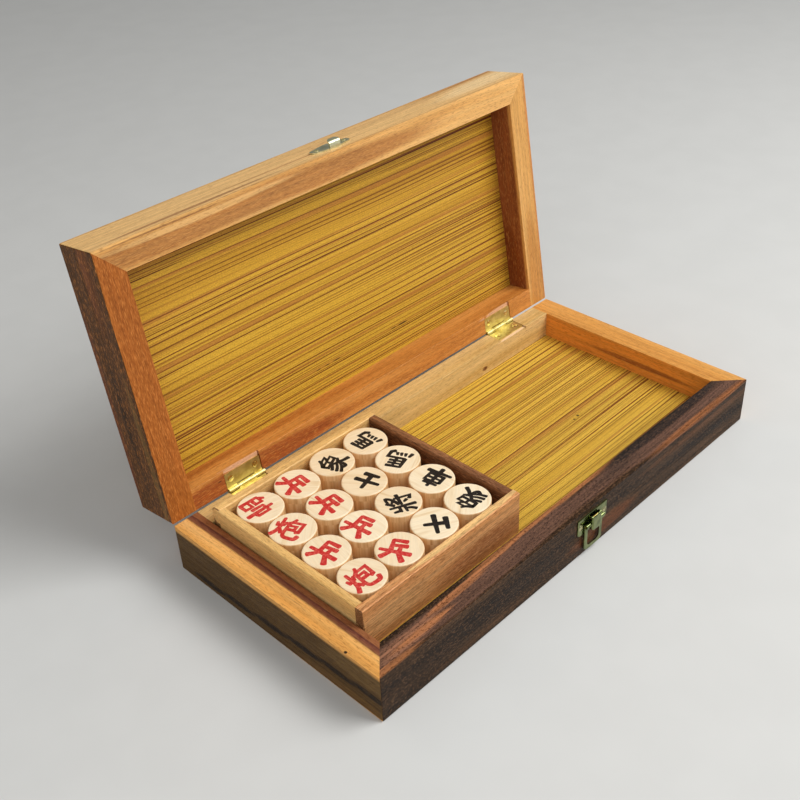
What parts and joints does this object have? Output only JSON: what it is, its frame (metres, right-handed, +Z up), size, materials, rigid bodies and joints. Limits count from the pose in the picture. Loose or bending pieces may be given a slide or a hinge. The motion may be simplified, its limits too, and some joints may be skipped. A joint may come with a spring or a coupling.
{
  "type": "folding xiangqi box",
  "caption": "Hinged wooden case that opens on brass butt hinges, with a draw latch, a lift-out tray and stacked round xiangqi discs.",
  "frame": {"origin": "centre of the base's underside", "axes": "+X along the case to its right end, +Y from the latch to the hinges, +Z up"},
  "size_m": [0.3, 0.2011, 0.1777],
  "materials": {
    "base_front_wood": "dark, coarse grained, satin",
    "base_left_wood": "satin",
    "base_right_wood": "satin",
    "base_back_wood": "satin",
    "lid_front_wood": "satin",
    "lid_left_wood": "satin",
    "lid_right_wood": "satin",
    "lid_back_wood": "satin",
    "lining_veneer": "striped veneer, satin",
    "board_wood": "satin",
    "tray_front_wood": "satin",
    "tray_back_wood": "satin",
    "tray_left_wood": "satin",
    "tray_right_wood": "satin",
    "disc_wood": "smooth, lacquered",
    "lower_disc_wood": "smooth, lacquered",
    "hinge_brass": "plated, polished",
    "latch_brass": "plated, polished",
    "pin_brass": "plated",
    "screw_brass": "plated, polished"
  },
  "bodies": {
    "base": {"base_rail_front": "base_front_wood", "base_rail_left": "base_left_wood", "base_rail_right": "base_right_wood", "base_rail_back": "base_back_wood", "base_lining": "lining_veneer", "base_board": "board_wood", "hinge_left_base_leaf": "hinge_brass", "hinge_right_base_leaf": "hinge_brass", "hinge_left_pin": "pin_brass", "hinge_right_pin": "pin_brass", "hinge_screws_base": "screw_brass", "latch_plate": "latch_brass", "latch_screws": "screw_brass", "latch_lever_pin": "pin_brass"},
    "lid": {"lid_rail_front": "lid_front_wood", "lid_rail_left": "lid_left_wood", "lid_rail_right": "lid_right_wood", "lid_rail_back": "lid_back_wood", "lid_lining": "lining_veneer", "lid_board": "board_wood", "hinge_left_lid_leaf": "hinge_brass", "hinge_right_lid_leaf": "hinge_brass", "hinge_screws_lid": "screw_brass", "strike_plate": "latch_brass", "strike_screws": "screw_brass"},
    "lever": {"latch_lever": "latch_brass", "latch_ring_pin": "pin_brass"},
    "ring": {"latch_ring": "latch_brass"},
    "tray": {"tray_wall_front": "tray_front_wood", "tray_wall_back": "tray_back_wood", "tray_wall_left": "tray_left_wood", "tray_wall_right": "tray_right_wood", "tray_floor": "tray_left_wood"},
    "lower_advisors_elephants_red": {"lower_advisors_elephants_red": "lower_disc_wood"},
    "lower_horses_chariots_red": {"lower_horses_chariots_red": "lower_disc_wood"},
    "lower_soldiers_black": {"lower_soldiers_black": "lower_disc_wood"},
    "lower_mixed_black": {"lower_mixed_black": "lower_disc_wood"},
    "general_red": {"general_red": "disc_wood"},
    "cannon_red_1": {"cannon_red_1": "disc_wood"},
    "soldier_red_1": {"soldier_red_1": "disc_wood"},
    "cannon_red_2": {"cannon_red_2": "disc_wood"},
    "soldier_red_2": {"soldier_red_2": "disc_wood"},
    "soldier_red_3": {"soldier_red_3": "disc_wood"},
    "soldier_red_4": {"soldier_red_4": "disc_wood"},
    "soldier_red_5": {"soldier_red_5": "disc_wood"},
    "elephant_black_1": {"elephant_black_1": "disc_wood"},
    "advisor_black_1": {"advisor_black_1": "disc_wood"},
    "general_black": {"general_black": "disc_wood"},
    "advisor_black_2": {"advisor_black_2": "disc_wood"},
    "horse_black_1": {"horse_black_1": "disc_wood"},
    "horse_black_2": {"horse_black_2": "disc_wood"},
    "chariot_black": {"chariot_black": "disc_wood"},
    "elephant_black_2": {"elephant_black_2": "disc_wood"}
  },
  "joints": [
    {"name": "lid_hinge", "type": "hinge", "parent": "base", "child": "lid", "pos_m": [0, 0.0736, 0.02865], "axis": [-1, 0, 0], "range_deg": [-98.8, 81.2]},
    {"name": "lever_pivot", "type": "hinge", "parent": "base", "child": "lever", "pos_m": [0.0005, -0.07555, 0.0234], "axis": [1, 0, 0], "range_deg": [-115, 0]},
    {"name": "ring_pivot", "type": "hinge", "parent": "lever", "child": "ring", "pos_m": [0.0005, -0.07525, 0.0197], "axis": [-1, 0, 0], "range_deg": [0, 180]},
    {"name": "tray_lift", "type": "slide", "parent": "base", "child": "tray", "axis": [0, 0, 1], "range_m": [0, 0.06]},
    {"name": "lower_advisors_elephants_red_lift", "type": "slide", "parent": "tray", "child": "lower_advisors_elephants_red", "axis": [0, 0, 1], "range_m": [0, 0.04]},
    {"name": "lower_horses_chariots_red_lift", "type": "slide", "parent": "tray", "child": "lower_horses_chariots_red", "axis": [0, 0, 1], "range_m": [0, 0.04]},
    {"name": "lower_soldiers_black_lift", "type": "slide", "parent": "tray", "child": "lower_soldiers_black", "axis": [0, 0, 1], "range_m": [0, 0.04]},
    {"name": "lower_mixed_black_lift", "type": "slide", "parent": "tray", "child": "lower_mixed_black", "axis": [0, 0, 1], "range_m": [0, 0.04]},
    {"name": "general_red_lift", "type": "slide", "parent": "lower_advisors_elephants_red", "child": "general_red", "axis": [0, 0, 1], "range_m": [0, 0.03]},
    {"name": "cannon_red_1_lift", "type": "slide", "parent": "lower_advisors_elephants_red", "child": "cannon_red_1", "axis": [0, 0, 1], "range_m": [0, 0.03]},
    {"name": "soldier_red_1_lift", "type": "slide", "parent": "lower_advisors_elephants_red", "child": "soldier_red_1", "axis": [0, 0, 1], "range_m": [0, 0.03]},
    {"name": "cannon_red_2_lift", "type": "slide", "parent": "lower_advisors_elephants_red", "child": "cannon_red_2", "axis": [0, 0, 1], "range_m": [0, 0.03]},
    {"name": "soldier_red_2_lift", "type": "slide", "parent": "lower_horses_chariots_red", "child": "soldier_red_2", "axis": [0, 0, 1], "range_m": [0, 0.03]},
    {"name": "soldier_red_3_lift", "type": "slide", "parent": "lower_horses_chariots_red", "child": "soldier_red_3", "axis": [0, 0, 1], "range_m": [0, 0.03]},
    {"name": "soldier_red_4_lift", "type": "slide", "parent": "lower_horses_chariots_red", "child": "soldier_red_4", "axis": [0, 0, 1], "range_m": [0, 0.03]},
    {"name": "soldier_red_5_lift", "type": "slide", "parent": "lower_horses_chariots_red", "child": "soldier_red_5", "axis": [0, 0, 1], "range_m": [0, 0.03]},
    {"name": "elephant_black_1_lift", "type": "slide", "parent": "lower_soldiers_black", "child": "elephant_black_1", "axis": [0, 0, 1], "range_m": [0, 0.03]},
    {"name": "advisor_black_1_lift", "type": "slide", "parent": "lower_soldiers_black", "child": "advisor_black_1", "axis": [0, 0, 1], "range_m": [0, 0.03]},
    {"name": "general_black_lift", "type": "slide", "parent": "lower_soldiers_black", "child": "general_black", "axis": [0, 0, 1], "range_m": [0, 0.03]},
    {"name": "advisor_black_2_lift", "type": "slide", "parent": "lower_soldiers_black", "child": "advisor_black_2", "axis": [0, 0, 1], "range_m": [0, 0.03]},
    {"name": "horse_black_1_lift", "type": "slide", "parent": "lower_mixed_black", "child": "horse_black_1", "axis": [0, 0, 1], "range_m": [0, 0.03]},
    {"name": "horse_black_2_lift", "type": "slide", "parent": "lower_mixed_black", "child": "horse_black_2", "axis": [0, 0, 1], "range_m": [0, 0.03]},
    {"name": "chariot_black_lift", "type": "slide", "parent": "lower_mixed_black", "child": "chariot_black", "axis": [0, 0, 1], "range_m": [0, 0.03]},
    {"name": "elephant_black_2_lift", "type": "slide", "parent": "lower_mixed_black", "child": "elephant_black_2", "axis": [0, 0, 1], "range_m": [0, 0.03]}
  ]
}
